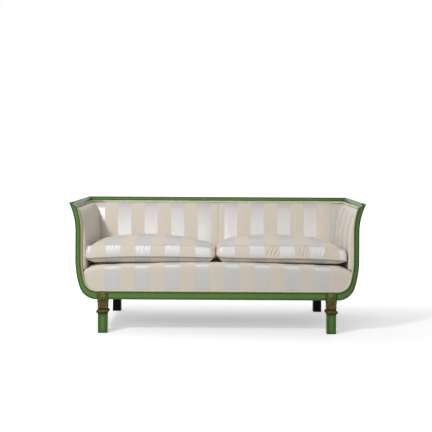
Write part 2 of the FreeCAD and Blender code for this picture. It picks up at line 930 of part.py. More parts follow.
pieces["right_arm_webbing"] = arm_webbing()
pieces["left_arm_webbing"] = [mirrored(strap) for strap in arm_webbing()]
pieces["front_border"] = [front_border()]
pieces["seat_deck"] = [seat_deck()]
pair("arm_pad", arm_pad())
pair("back_pad", back_pad())
pair("outside_arm_cover", outside_arm_cover())
pieces["outside_back_cover"] = [outside_back_cover()]
pieces["dust_cover"] = [dust_cover()]
pieces["front_welt"] = [front_welt()]
pair("arm_welt", arm_welt())
pieces["back_welt"] = [back_welt()]
pieces["back_centre_welt"] = [back_centre_welt()]
pair("seat_cushion", seat_cushion())

# Holes for the dowels and screws
dowel_holes = dowels(fit)
screw_holes = [
    hole for place in corner_places() for hole in corner_screws(*place, fit, corner_block_leg)
]
doweled = ["front_rail", "rear_rail", "front_stile", "rear_stile", "front_leg", "rear_leg"]
screwed = ["front_seat_rail", "rear_seat_rail", "seat_rail", "corner_blocks"]
for names, holes in ((doweled, dowel_holes), (screwed, screw_holes)):
    for name in names:
        for node in (name, "left_" + name, "right_" + name):
            if node in pieces:
                pieces[node] = [solid.cut(holes) for solid in pieces[node]]

os.makedirs("parts", exist_ok=True)
for name, shapes in sorted(pieces.items()):
    solids = [solid for shape in shapes for solid in shape.Solids]
    whole = solids[0] if len(solids) == 1 else Part.makeCompound(solids)
    whole.exportStep("parts/" + name + ".step")
    print(name, len(solids), "solids", round(whole.Volume / 1000, 1), "cm3", whole.isValid())
print_spring_gap()
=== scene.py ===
import bpy
import bmesh
import math
import numpy as np
from mathutils import Euler, Matrix, Vector, noise


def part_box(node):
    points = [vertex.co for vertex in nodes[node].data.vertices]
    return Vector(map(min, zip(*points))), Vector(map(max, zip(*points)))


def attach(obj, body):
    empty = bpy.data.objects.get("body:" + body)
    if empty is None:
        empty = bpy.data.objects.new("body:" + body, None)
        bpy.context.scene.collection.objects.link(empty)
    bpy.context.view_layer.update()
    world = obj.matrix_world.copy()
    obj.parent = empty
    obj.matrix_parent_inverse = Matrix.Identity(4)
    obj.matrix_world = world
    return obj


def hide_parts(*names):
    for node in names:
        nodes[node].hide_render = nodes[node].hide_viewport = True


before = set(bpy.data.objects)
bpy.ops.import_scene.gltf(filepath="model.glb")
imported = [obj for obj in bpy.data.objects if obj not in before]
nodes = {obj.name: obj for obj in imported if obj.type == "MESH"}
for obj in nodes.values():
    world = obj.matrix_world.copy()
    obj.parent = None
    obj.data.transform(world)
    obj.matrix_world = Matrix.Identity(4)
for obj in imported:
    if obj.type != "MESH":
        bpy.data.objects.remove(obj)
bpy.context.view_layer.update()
scene = bpy.context.scene
scene.view_settings.view_transform = "Standard"
print("frame:", len(nodes), "nodes")


# shader node helpers
def addNode(tree, kind, **values):
    node = tree.nodes.new(kind)
    for key, value in values.items():
        setattr(node, key, value)
    return node


def feed(tree, socket, value):
    # links an output, or sets a plain value
    if isinstance(value, bpy.types.NodeSocket):
        tree.links.new(value, socket)
    else:
        socket.default_value = value


def fill(tree, node, values):
    # feeds several inputs by their names
    for key, value in values.items():
        feed(tree, node.inputs[key], value)


def calc(tree, operation, a, b=None, c=None):
    node = addNode(tree, "ShaderNodeMath", operation=operation)
    for socket, value in zip(node.inputs, (a, b, c)):
        if value is not None:
            feed(tree, socket, value)
    return node.outputs[0]


def remap(tree, value, low, high, toLow=0.0, toHigh=1.0, curve="LINEAR"):
    node = addNode(tree, "ShaderNodeMapRange", clamp=True, interpolation_type=curve)
    fill(tree, node, {"Value": value, "From Min": low, "From Max": high, "To Min": toLow, "To Max": toHigh})
    return node.outputs["Result"]


def mixColor(tree, share, first, second):
    node = addNode(tree, "ShaderNodeMix", data_type="RGBA")
    feed(tree, node.inputs["Factor"], share)
    for key, value in ((6, first), (7, second)):
        feed(tree, node.inputs[key], value if isinstance(value, bpy.types.NodeSocket) else (*value, 1))
    return node.outputs[2]


cloudRange = (0.3, 0.7)  # most values of a noise lie in it


def cloudy(tree, where, scale, detail=3.0, rough=0.5):
    node = addNode(tree, "ShaderNodeTexNoise")
    fill(tree, node, {"Vector": where, "Scale": scale, "Detail": detail, "Roughness": rough})
    return node.outputs["Fac"]


def stretched(tree, place, scale):
    node = addNode(tree, "ShaderNodeMapping")
    fill(tree, node, {"Vector": place, "Scale": scale})
    return node.outputs[0]


def placeOf(tree, coordinates="Object"):
    return addNode(tree, "ShaderNodeTexCoord").outputs[coordinates]


def axesOf(tree, place):
    parts = addNode(tree, "ShaderNodeSeparateXYZ")
    tree.links.new(place, parts.inputs[0])
    return parts.outputs


def addBump(tree, shader, height, strength, distance):
    bump = addNode(tree, "ShaderNodeBump")
    fill(tree, bump, {"Height": height, "Strength": strength, "Distance": distance})
    tree.links.new(bump.outputs[0], shader.inputs["Normal"])


def newMaterial(name):
    material = bpy.data.materials.new(name)
    material.use_nodes = True
    tree = material.node_tree
    return material, tree, tree.nodes["Principled BSDF"]


def newGroup(name, inputs, outputs):
    tree = bpy.data.node_groups.new(name, "ShaderNodeTree")
    for label, kind in inputs:
        tree.interface.new_socket(label, in_out="INPUT", socket_type=kind)
    for label, kind in outputs:
        tree.interface.new_socket(label, in_out="OUTPUT", socket_type=kind)
    return tree, addNode(tree, "NodeGroupInput").outputs, addNode(tree, "NodeGroupOutput").inputs


# camera, stage and light
camera = {
    "place": (0.0, -5.27, 1.054), "yaw": 0.125, "roll": 0.3,
    "lens": 69.15, "sensor": 36.0, "shiftY": -0.141,
}
studio = {
    "white": (1, 1, 1, 1),
    "floor": 60.0, "floorTone": 0.85,
    "floorBounce": 0.5,  # tone of the floor in the light that it throws back
    "floorGlow": 0.42, "glowNear": 1.1, "glowFar": 3.4,  # the floor turns plain white away from the object
    "rearNear": 0.0, "rearFar": 1.5,  # and sooner behind it
    "roomLight": 0.40,  # from the front and the sides
    "wallLight": 1.05, "wallNear": -0.1, "wallFar": 0.6,  # from the white backdrop
    "leftShare": -0.12, "aboveShare": -0.45,  # more of the soft light comes from the left and from low down
}
lamps = {
    # the key throws the shadows, the box fills, and the panel shows only as a sheen on satin, paint and metal
    "key": {"place": (-2.9, -3.7, 4.2), "aim": (0.0, 0.0, 0.5), "size": (0.7, 0.7),
            "power": 140.0, "diffuse": True},
    "box": {"place": (-1.5, -4.2, 2.6), "aim": (0.0, 0.1, 0.5), "size": (2.0, 1.0),
            "power": 44.0, "diffuse": True},
    "panel": {"place": (0.1, -4.0, 2.15), "aim": (0.0, -0.1, 0.5), "size": (4.4, 3.3),
              "power": 134.0, "diffuse": False},
}


def setCamera():
    data = bpy.data.cameras.new("camera")
    data.lens = camera["lens"]
    data.sensor_width = camera["sensor"]
    data.shift_y = camera["shiftY"]
    item = bpy.data.objects.new("camera", data)
    item.location = camera["place"]
    level = Euler((math.radians(90), 0, math.radians(camera["yaw"]))).to_matrix()
    item.rotation_euler = (level @ Matrix.Rotation(math.radians(camera["roll"]), 3, "Z")).to_euler()
    scene.collection.objects.link(item)
    scene.camera = item


def setLamps():
    for name, lamp in lamps.items():
        data = bpy.data.lights.new(name, "AREA")
        data.shape = "RECTANGLE"
        data.size, data.size_y = lamp["size"]
        data.energy = lamp["power"]
        item = bpy.data.objects.new(name, data)
        item.location = lamp["place"]
        item.rotation_mode = "QUATERNION"
        item.rotation_quaternion = (Vector(lamp["aim"]) - Vector(lamp["place"])).to_track_quat("-Z", "Y")
        item.visible_diffuse = lamp["diffuse"]
        scene.collection.objects.link(item)


def litAndSeen(tree, lit, seen):
    # one shader lights the object, the other is what the camera and reflections show
    path = addNode(tree, "ShaderNodeLightPath").outputs
    direct = calc(tree, "MAXIMUM", path["Is Camera Ray"], path["Is Glossy Ray"])
    mix = addNode(tree, "ShaderNodeMixShader")
    tree.links.new(calc(tree, "MAXIMUM", direct, path["Is Transmission Ray"]), mix.inputs["Fac"])
    tree.links.new(lit.outputs[0], mix.inputs[1])
    tree.links.new(seen.outputs[0], mix.inputs[2])
    return mix.outputs[0]


def setWorld():
    world = bpy.data.worlds.new("studio")
    scene.world = world
    world.use_nodes = True
    tree = world.node_tree
    tree.nodes.clear()
    axis = axesOf(tree, placeOf(tree, "Generated"))
    level = remap(tree, axis["Y"], studio["wallNear"], studio["wallFar"],
                  studio["roomLight"], studio["wallLight"], "SMOOTHSTEP")
    above = calc(tree, "MULTIPLY_ADD", axis["Z"], studio["aboveShare"], 1.0)
    lean = calc(tree, "MULTIPLY_ADD", axis["X"], studio["leftShare"], above)
    soft = addNode(tree, "ShaderNodeBackground")
    fill(tree, soft, {"Color": studio["white"], "Strength": calc(tree, "MULTIPLY", level, lean)})
    plain = addNode(tree, "ShaderNodeBackground")
    fill(tree, plain, {"Color": studio["white"], "Strength": 1.0})
    out = addNode(tree, "ShaderNodeOutputWorld")
    tree.links.new(litAndSeen(tree, soft, plain), out.inputs["Surface"])


def floorMaterial():
    material = bpy.data.materials.new("floorPaint")
    material.use_nodes = True
    tree = material.node_tree
    tree.nodes.clear()
    matt = addNode(tree, "ShaderNodeBsdfDiffuse")
    matt.inputs["Color"].default_value = (studio["floorTone"],) * 3 + (1,)
    bounce = addNode(tree, "ShaderNodeBsdfDiffuse")
    bounce.inputs["Color"].default_value = (studio["floorBounce"],) * 3 + (1,)
    place = placeOf(tree)
    far = addNode(tree, "ShaderNodeVectorMath", operation="LENGTH")
    tree.links.new(place, far.inputs[0])
    around = remap(tree, far.outputs["Value"], studio["glowNear"], studio["glowFar"],
                   studio["floorGlow"], 1.0, "SMOOTHSTEP")
    behind = remap(tree, axesOf(tree, place)["Y"], studio["rearNear"], studio["rearFar"],
                   studio["floorGlow"], 1.0, "SMOOTHSTEP")
    glow = addNode(tree, "ShaderNodeEmission")
    tree.links.new(calc(tree, "MAXIMUM", around, behind), glow.inputs["Strength"])
    shown = addNode(tree, "ShaderNodeAddShader")
    tree.links.new(matt.outputs[0], shown.inputs[0])
    tree.links.new(glow.outputs[0], shown.inputs[1])
    out = addNode(tree, "ShaderNodeOutputMaterial")
    tree.links.new(litAndSeen(tree, bounce, shown), out.inputs["Surface"])
    return material


def setFloor():
    bm = bmesh.new()
    bmesh.ops.create_grid(bm, x_segments=1, y_segments=1, size=studio["floor"])
    mesh = bpy.data.meshes.new("floor")
    bm.to_mesh(mesh)
    bm.free()
    mesh.materials.append(floorMaterial())
    floor = bpy.data.objects.new("floor", mesh)
    scene.collection.objects.link(floor)


setCamera()
setWorld()
setFloor()
setLamps()
print("camera and stage set")


# striped cover material
stripe = {
    "period": 0.177,  # one beige and one satin stripe
    "beige": (0.74, 0.665, 0.565), "satin": (0.622, 0.603, 0.587),
    "dull": 0.9, "gloss": 0.29,  # roughness of the beige and of the satin stripe
    "wander": 0.006, "wanderScale": 9.0,  # how far the stripes stray
    "blend": 0.0008,  # half the width over which one stripe turns into the other
    "edgeNear": 0.001, "edgeFar": 0.0028, "edgeTone": (0.45, 0.38, 0.30), "edgeShare": 0.16,
    "soilScale": 3.2, "soilRange": (0.35, 0.75), "soilTone": (0.52, 0.46, 0.38), "soilShare": 0.07,
    "thread": 0.0011, "weftCount": 0.62,  # weft threads for each warp thread
    "dullWeft": 0.35, "dullWarp": 0.15, "satinWarp": 0.12, "slubScale": 260.0, "slub": 0.5,
    "relief": 0.0005, "reliefShare": 0.22,
    "specular": 0.62, "sheen": 0.05, "sheenRough": 0.5,
    "flareFoot": 0.64,  # height at which flared stripes have their plain width
    "lastEdge": 0.001,  # width over which the outermost stripe ends
}


def stripedWeave():
    # woven stripe: a dull ribbed beige band and a smooth satin band
    tree, given, made = newGroup(
        "stripedWeave",
        [("Place", "NodeSocketVector"), ("Across", "NodeSocketFloat"), ("Along", "NodeSocketFloat"),
         ("Shown", "NodeSocketFloat")],
        [("Color", "NodeSocketColor"), ("Satin", "NodeSocketFloat"), ("Height", "NodeSocketFloat")],
    )
    stray = calc(tree, "SUBTRACT", cloudy(tree, given["Place"], stripe["wanderScale"]), 0.5)
    across = calc(tree, "MULTIPLY_ADD", stray, stripe["wander"], given["Across"])
    swing = calc(tree, "PINGPONG", across, stripe["period"] / 2)
    quarter = stripe["period"] / 4
    satin = remap(tree, swing, quarter - stripe["blend"], quarter + stripe["blend"])
    shownSatin = calc(tree, "MULTIPLY", satin, given["Shown"])
    base = mixColor(tree, shownSatin, stripe["beige"], stripe["satin"])
    fromEdge = calc(tree, "ABSOLUTE", calc(tree, "SUBTRACT", swing, quarter))
    edge = remap(tree, fromEdge, stripe["edgeNear"], stripe["edgeFar"], stripe["edgeShare"], 0.0)
    base = mixColor(tree, calc(tree, "MULTIPLY", edge, given["Shown"]), base, stripe["edgeTone"])
    darkening = cloudy(tree, given["Place"], stripe["soilScale"], 4.0)
    darkening = remap(tree, darkening, *stripe["soilRange"], 0.0, stripe["soilShare"])
    base = mixColor(tree, darkening, base, stripe["soilTone"])
    turn = 2 * math.pi / stripe["thread"]
    warp = calc(tree, "SINE", calc(tree, "MULTIPLY", given["Across"], turn))
    weft = calc(tree, "SINE", calc(tree, "MULTIPLY", given["Along"], turn * stripe["weftCount"]))
    ribbed = calc(tree, "MULTIPLY", warp, stripe["dullWarp"])
    ribbed = calc(tree, "MULTIPLY_ADD", weft, stripe["dullWeft"], ribbed)
    threads = addNode(tree, "ShaderNodeMix", data_type="FLOAT")
    feed(tree, threads.inputs["Factor"], satin)
    feed(tree, threads.inputs[2], ribbed)
    feed(tree, threads.inputs[3], calc(tree, "MULTIPLY", warp, stripe["satinWarp"]))
    slub = cloudy(tree, given["Place"], stripe["slubScale"], 2.0)
    tree.links.new(base, made["Color"])
    tree.links.new(shownSatin, made["Satin"])
    tree.links.new(calc(tree, "MULTIPLY_ADD", slub, stripe["slub"], threads.outputs[0]), made["Height"])
    return tree


stripedWeaveGroup = stripedWeave()


def stripedCover(name, acrossAxis, shift=0.0, shown=1.0, widest=None, flare=0.0):
    # shown is how strongly the satin stripe stands out, widest the reach of the stripes from the middle,
    # flare how fast they spread with height
    material, tree, shader = newMaterial(name)
    place = placeOf(tree)
    axis = axesOf(tree, place)
    spread = calc(tree, "MULTIPLY_ADD", axis["Z"], -flare, 1 + flare * stripe["flareFoot"])
    across = calc(tree, "SUBTRACT", calc(tree, "MULTIPLY", axis[acrossAxis], spread), shift)
    if widest:
        reach = calc(tree, "ABSOLUTE", axis[acrossAxis])
        shown = remap(tree, reach, widest, widest + stripe["lastEdge"], shown, 0.0)
    weave = addNode(tree, "ShaderNodeGroup", node_tree=stripedWeaveGroup)
    fill(tree, weave, {"Place": place, "Across": across, "Along": axis["Z"], "Shown": shown})
    made = weave.outputs
    fill(tree, shader, {
        "Base Color": made["Color"],
        "Roughness": remap(tree, made["Satin"], 0.0, 1.0, stripe["dull"], stripe["gloss"]),
        "Specular IOR Level": stripe["specular"],
        "Sheen Weight": stripe["sheen"], "Sheen Roughness": stripe["sheenRough"],
    })
    addBump(tree, shader, made["Height"], stripe["reliefShare"], stripe["relief"])
    return material


# other cloths, paint, metal and bare wood
plainWeave = {
    "scale": 40.0, "rib": 0.25, "low": 0.25, "high": 0.85,
    "bump": 0.35, "depth": 0.4, "rough": 0.85, "sheen": 0.15,
}
weltPaintedShade = {"tone": (0.36, 0.31, 0.17), "from": -0.755, "to": -0.79, "share": 0.8}  # painted shade on the left end, where the stile shades the welt


def plainCloth(name, color, dark, pitch, darkening=None):
    # plain weave with uneven threads; darkening, when given, paints shade onto one end
    material, tree, shader = newMaterial(name)
    place = placeOf(tree)
    axis = axesOf(tree, place)
    turn = 2 * math.pi / pitch
    one = calc(tree, "SINE", calc(tree, "MULTIPLY", calc(tree, "ADD", axis["X"], axis["Z"]), turn))
    two = calc(tree, "SINE", calc(tree, "MULTIPLY", calc(tree, "SUBTRACT", axis["Y"], axis["Z"]), turn))
    height = calc(tree, "MULTIPLY", one, two)
    clouds = cloudy(tree, place, plainWeave["scale"], 4.0)
    uneven = calc(tree, "MULTIPLY_ADD", height, plainWeave["rib"], clouds)
    base = mixColor(tree, remap(tree, uneven, plainWeave["low"], plainWeave["high"]), dark, color)
    # painted shade: one end is darkened by its place along X
    if darkening:
        paintedShade = remap(tree, axis["X"], darkening["from"], darkening["to"], 0.0, darkening["share"])
        base = mixColor(tree, paintedShade, base, darkening["tone"])
    fill(tree, shader, {
        "Base Color": base, "Roughness": plainWeave["rough"], "Sheen Weight": plainWeave["sheen"],
    })
    addBump(tree, shader, height, plainWeave["bump"], pitch * plainWeave["depth"])
    return material


# painted shade along the arrises, in the tight corners and towards the right end
paintedShading = {
    "arris": 0.017, "flat": 0.999, "turned": 0.965,  # reach of the dark arrises, and where they start and end
    "patchScale": 45.0, "patchLeast": 0.7,
    "hollow": 0.010, "open": 0.95, "closed": 0.45,  # the same for the tight corners
    "share": 0.92,
    "rightNear": 0.15, "rightFar": 0.85, "rightShare": 0.18,  # painted shade: the paint darkens towards the right end, where less light falls
}


def paintedEdgeShade():
    # mask of the arrises and tight corners, where shade is painted into the colour
    tree, given, made = newGroup(
        "paintedEdgeShade",
        [("Place", "NodeSocketVector")],
        [("Edge", "NodeSocketFloat"), ("Hollow", "NodeSocketFloat")],
    )
    soft = addNode(tree, "ShaderNodeBevel", samples=8)
    soft.inputs["Radius"].default_value = paintedShading["arris"]
    turn = addNode(tree, "ShaderNodeVectorMath", operation="DOT_PRODUCT")
    tree.links.new(soft.outputs[0], turn.inputs[0])
    tree.links.new(addNode(tree, "ShaderNodeNewGeometry").outputs["Normal"], turn.inputs[1])
    edge = remap(tree, turn.outputs["Value"], paintedShading["flat"], paintedShading["turned"])
    patchy = cloudy(tree, given["Place"], paintedShading["patchScale"])
    patchy = remap(tree, patchy, *cloudRange, paintedShading["patchLeast"], 1.0)
    tree.links.new(calc(tree, "MULTIPLY", edge, patchy), made["Edge"])
    shut = addNode(tree, "ShaderNodeAmbientOcclusion", samples=6)
    shut.inputs["Distance"].default_value = paintedShading["hollow"]
    tree.links.new(remap(tree, shut.outputs["AO"], paintedShading["open"], paintedShading["closed"]), made["Hollow"])
    return tree


paintedEdgeShadeGroup = paintedEdgeShade()


def paintedShadeMasks(tree, place):
    shadeMasksNode = addNode(tree, "ShaderNodeGroup", node_tree=paintedEdgeShadeGroup)
    tree.links.new(place, shadeMasksNode.inputs["Place"])
    return shadeMasksNode.outputs


paintwork = {
    "cloudScale": 14.0, "cloudShare": 0.7, "fineScale": 120.0, "fineShare": 0.3, "roughMore": 0.12,
    "strokes": (30, 160, 160), "strokeBump": 0.10, "strokeDepth": 0.0006,
    "specular": 0.06, "coatRough": 0.10, "coatIor": 1.22,
}


def paintedWood(name, color, shade, shadeTone, gloss, coat):
    material, tree, shader = newMaterial(name)
    place = placeOf(tree)
    axis = axesOf(tree, place)
    clouds = cloudy(tree, place, paintwork["cloudScale"], 5.0, 0.6)
    fine = cloudy(tree, place, paintwork["fineScale"])
    uneven = calc(tree, "MULTIPLY_ADD", clouds, paintwork["cloudShare"],
                  calc(tree, "MULTIPLY", fine, paintwork["fineShare"]))
    paint = mixColor(tree, remap(tree, uneven, *cloudRange), shade, color)
    masks = paintedShadeMasks(tree, place)
    # painted shade along the arrises and in the tight corners
    dark = calc(tree, "MAXIMUM", masks["Edge"], masks["Hollow"])
    paint = mixColor(tree, calc(tree, "MULTIPLY", dark, paintedShading["share"]), paint, shadeTone)
    # painted shade, darker towards the right end
    rightShade = remap(tree, axis["X"], paintedShading["rightNear"], paintedShading["rightFar"], 0.0, paintedShading["rightShare"])
    fill(tree, shader, {
        "Base Color": mixColor(tree, rightShade, paint, shadeTone),
        "Roughness": remap(tree, fine, *cloudRange, gloss, gloss + paintwork["roughMore"]),
        "Specular IOR Level": paintwork["specular"],
        "Coat Weight": coat, "Coat Roughness": paintwork["coatRough"], "Coat IOR": paintwork["coatIor"],
    })
    strokes = cloudy(tree, stretched(tree, place, paintwork["strokes"]), 1.0, 2.0)
    addBump(tree, shader, strokes, paintwork["strokeBump"], paintwork["strokeDepth"])
    return material


metalwork = {
    "patinaScale": 60.0, "patinaRange": (0.2, 0.7),
    "metallic": 0.8, "roughMore": 0.2, "bump": 0.2, "depth": 0.0004,
}


def metal(name, color, dark, roughness):
    material, tree, shader = newMaterial(name)
    place = placeOf(tree)
    patina = cloudy(tree, place, metalwork["patinaScale"], 5.0, 0.65)
    bright = remap(tree, patina, *metalwork["patinaRange"])
    # the hollows darken: patina, together with painted shade from the same mask
    bright = calc(tree, "SUBTRACT", bright, paintedShadeMasks(tree, place)["Hollow"])
    fill(tree, shader, {
        "Base Color": mixColor(tree, remap(tree, bright, 0.0, 1.0), dark, color),
        "Roughness": remap(tree, patina, *cloudRange, roughness + metalwork["roughMore"], roughness),
        "Metallic": metalwork["metallic"],
    })
    addBump(tree, shader, patina, metalwork["bump"], metalwork["depth"])
    return material


timber = {"grain": (6, 90, 90), "bump": 0.3, "depth": 0.0005, "rough": 0.7}


def sawnWood(name, color, dark):
    material, tree, shader = newMaterial(name)
    place = placeOf(tree)
    grain = cloudy(tree, stretched(tree, place, timber["grain"]), 1.0, 6.0, 0.6)
    base = mixColor(tree, remap(tree, grain, *cloudRange), dark, color)
    fill(tree, shader, {"Base Color": base, "Roughness": timber["rough"]})
    addBump(tree, shader, grain, timber["bump"], timber["depth"])
    return material


coverX = stripedCover("stripedCoverX", "X")
coverBack = stripedCover("stripedCoverBack", "X", flare=0.07)
coverRight = stripedCover("stripedCoverRight", "X", shift=-0.028)
# painted shade: the left arm's copy shows its satin stripe less, as that arm lies in shade
coverArm = {"left": stripedCover("stripedCoverLeftArm", "Y", shift=-0.02, shown=0.65),
            "right": stripedCover("stripedCoverRightArm", "Y", shift=-0.02)}
coverBorder = stripedCover("stripedCoverBorder", "X", widest=0.69)
giltBronze = metal("giltBronze", (0.106, 0.084, 0.022), (0.026, 0.019, 0.005), 0.5)
dullBronze = metal("dullBronze", (0.078, 0.062, 0.017), (0.016, 0.012, 0.004), 0.55)
greenBronze = metal("greenBronze", (0.088, 0.100, 0.025), (0.030, 0.036, 0.009), 0.5)
weltCloth = plainCloth("weltCloth", (0.74, 0.71, 0.55), (0.64, 0.61, 0.46), 0.0016, weltPaintedShade)
# painted shade: the lower piping gets a dark olive cloth, as the seam under the band lies in shade
seamCloth = plainCloth("seamCloth", (0.40, 0.33, 0.22), (0.30, 0.24, 0.15), 0.0014)
dustCloth = plainCloth("dustCloth", (0.018, 0.018, 0.019), (0.008, 0.008, 0.009), 0.0012)
finishes = {
    "green_paint": paintedWood("greenPaint", (0.128, 0.254, 0.062), (0.104, 0.214, 0.050),
                               shadeTone=(0.020, 0.040, 0.010), gloss=0.40, coat=0.5),
    "dark_stain": paintedWood("darkStain", (0.006, 0.007, 0.005), (0.004, 0.004, 0.003),
                              shadeTone=(0.003, 0.003, 0.002), gloss=0.5, coat=0.1),
    "gilt_bronze": giltBronze,
    "beech": sawnWood("beech", (0.52, 0.34, 0.19), (0.40, 0.25, 0.13)),
    "jute_webbing": plainCloth("juteWebbing", (0.42, 0.31, 0.17), (0.24, 0.17, 0.09), 0.004),
    "hessian": plainCloth("hessian", (0.45, 0.34, 0.20), (0.28, 0.20, 0.11), 0.003),
    "spring_steel": metal("springSteel", (0.42, 0.42, 0.43), (0.22, 0.20, 0.19), 0.35),
    "screw_steel": metal("screwSteel", (0.5, 0.5, 0.5), (0.3, 0.3, 0.3), 0.3),
    "striped_cover": coverX,
    "welt_cord": weltCloth,
    "dust_cloth": dustCloth,
}
for node in nodes.values():
    for holder in node.material_slots:
        holder.material = finishes[holder.material.name.split(".")[0]]
print("materials made:", len(bpy.data.materials))


# shared making steps
near = 1e-5  # what lies closer than this is in the same place


def mergedCopy(nodeName):
    bm = bmesh.new()
    bm.from_mesh(nodes[nodeName].data)
    bmesh.ops.remove_doubles(bm, verts=bm.verts, dist=near)
    return bm


def addPiece(name, bm, body, slotName, material, *replaced):
    mesh = bpy.data.meshes.new(name)
    bm.to_mesh(mesh)
    bm.free()
    mesh.materials.clear()
    mesh.materials.append(material)
    mesh.shade_smooth()
    piece = bpy.data.objects.new(name, mesh)
    scene.collection.objects.link(piece)
    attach(piece, body)
    if replaced:
        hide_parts(*replaced)
    return piece


def applyAll(piece):
    graph = bpy.context.evaluated_depsgraph_get()
    made = bpy.data.meshes.new_from_object(piece.evaluated_get(graph))
    old = piece.data
    piece.modifiers.clear()
    piece.data = made
    bpy.data.meshes.remove(old)
    made.shade_smooth()


def voxelSkin(piece, size):
    remesh = piece.modifiers.new("skin", "REMESH")
    remesh.mode = "VOXEL"
    remesh.voxel_size = size
    remesh.use_smooth_shade = True
    applyAll(piece)


def subdivide(piece):
    fine = piece.modifiers.new("fine", "SUBSURF")
    fine.levels = 1
    fine.render_levels = 1
    applyAll(piece)


def vertexValues(piece, key):
    flat = np.empty(len(piece.data.vertices) * 3, np.float32)
    piece.data.vertices.foreach_get(key, flat)
    return flat.reshape(-1, 3).astype(float)


def points(piece):
    return vertexValues(piece, "co")


def normals(piece):
    return vertexValues(piece, "normal")


def setPoints(piece, places):
    piece.data.vertices.foreach_set("co", places.astype(np.float32).ravel())
    piece.data.update()


def relax(piece, rounds, keep=None):
    # evens out the voxel steps; keep marks the points that stay
    bm = bmesh.new()
    bm.from_mesh(piece.data)
    bm.verts.ensure_lookup_table()
    free = [v for v in bm.verts if keep is None or not keep[v.index]]
    for i in range(rounds):
        bmesh.ops.smooth_vert(bm, verts=free, factor=0.5, use_axis_x=True, use_axis_y=True, use_axis_z=True)
    bm.to_mesh(piece.data)
    bm.free()
    piece.data.update()


def bell(x, middle, width):
    return np.exp(-((x - middle) / width) ** 2)


def ease(x, low, high):
    t = np.clip((x - low) / (high - low), 0, 1)
    return t * t * (3 - 2 * t)


def dome(radius, reach, height):
    return height * np.sqrt(np.clip(1 - (radius / reach) ** 2, 0, 1))


def drift(places, scale, seed):
    # smooth uneven field between about -1 and 1
    shift = Vector((seed * 3.7, seed * 1.3, seed * 2.1))
    return np.array([noise.noise(Vector(p) * scale + shift) for p in places])


def cutAlong(bm, axis, parts):
    # divides a box evenly along one axis
    edges = [e for e in bm.edges if abs(e.verts[0].co[axis] - e.verts[1].co[axis]) > 1e-6]
    bmesh.ops.subdivide_edges(bm, edges=edges, cuts=parts - 1, use_grid_fill=True)


def dividedBox(across, deep, rows):
    # a cube from -1 to 1 with a grid on its faces
    bm = bmesh.new()
    bmesh.ops.create_cube(bm, size=2)
    for axis, parts in enumerate((across, deep, rows)):
        cutAlong(bm, axis, parts)
    return bm


def tube(name, path, radius, body, slotName, material):
    # closed cord of fabric along a ring of points
    curve = bpy.data.curves.new(name, "CURVE")
    curve.dimensions = "3D"
    curve.bevel_depth = radius
    curve.bevel_resolution = 3
    spline = curve.splines.new("POLY")
    spline.points.add(len(path) - 1)
    spline.points.foreach_set("co", np.c_[path, np.ones(len(path))].ravel())
    spline.use_cyclic_u = True
    guide = bpy.data.objects.new(name, curve)
    scene.collection.objects.link(guide)
    graph = bpy.context.evaluated_depsgraph_get()
    bm = bmesh.new()
    bm.from_mesh(bpy.data.meshes.new_from_object(guide.evaluated_get(graph)))
    bmesh.ops.remove_doubles(bm, verts=bm.verts, dist=near)
    bpy.data.objects.remove(guide)
    bpy.data.curves.remove(curve)
    return addPiece(name, bm, body, slotName, material)


# loose seat cushions
cushion = {
    "inner": 0.0024, "outer": 0.7746, "front": -0.3575, "back": 0.1992, "corner": 0.034,
    "grid": (104, 50, 8), "rowSpread": 0.375,  # the rows lie closer together towards front and back
    "deck": 0.4104, "leftSeam": 0.449, "rightSeam": 0.441, "highSeam": 0.519,
    "rearDrop": 0.030, "rearMiddle": 0.4,  # the rear seam's drop at the ends, and its share in the middle
    "tuck": 0.044, "tuckEnd": 0.048, "tuckEndPower": 1.4,  # how the underside turns up at its edges
    "bandSwell": 0.004, "drawIn": 0.003, "lean": 0.014, "endLean": 0.2, "drawPower": 6, "bowPower": 4,
    # at the left and right end of each: how far the upper seam drops, the lower one drops,
    # both pinch together, and how far the end sags between its corners
    "leftEnds": ((0.005, 0.016, 0.014, 0.010), (0.018, 0.006, 0.004, 0.022)),
    "rightEnds": ((0.010, -0.008, 0.006, 0.022), (0.030, 0.012, 0.000, 0.006)),
    "highPower": 4, "lowPower": 2.5, "pinchPower": 20, "lowPinch": 0.7, "sagPower": 3.5,
    # height of the crown, and how its fall to the left and to the right end curves
    "leftCrown": (0.035, 3.4, 1.4), "rightCrown": (0.034, 8.0, 2.4), "crownPower": 2.4,
    "shift": -0.008,  # both lie a little to the left
    "nose": 0.008, "noseEnd": 0.9, "noseFront": 0.86,  # how far the outer front corners spill, from where
    # limits: the arm pad's face, more room in front of it, and the gap between the cushions
    "armFace": 0.7762, "armRoom": 0.002, "armFront": (0.352, 0.362), "innerRoom": 0.0016,
    "upperPiping": 0.0024, "lowerPiping": 0.0030,
    "uneven": 0.0022, "unevenScale": 7.0, "unevenFacing": (-0.3, 0.3),  # the top is uneven, the underside flat
    # creases on the front band: where, reach to either side, lean, height
    "leftCreases": ((-0.625, 0.040, 0.55, 0.0007), (-0.445, 0.042, 0.40, 0.0007),
                    (-0.268, 0.040, 0.06, 0.0006)),
    "rightCreases": ((0.120, 0.030, 0.10, 0.0011), (0.322, 0.038, 0.50, 0.0023),
                     (0.505, 0.034, 0.20, 0.0021), (0.660, 0.032, 0.40, 0.0022)),
    "creaseGap": 0.0215, "creaseRise": 0.006, "creaseBand": 0.030, "creaseStray": 0.007, "strayScale": 22.0,
    "creaseShare": 0.75, "creaseUneven": 0.6, "creaseSharp": 0.35, "creaseFacing": (0.2, 0.7),
}


filling = {
    "pressure": 3.0, "cap": 0.006, "frames": 20,
    "cloth": {"quality": 4, "mass": 0.25, "tension_stiffness": 12, "compression_stiffness": 12,
              "shear_stiffness": 4, "bending_stiffness": 0.6, "use_pressure": True,
              "vertex_group_mass": "held"},
}


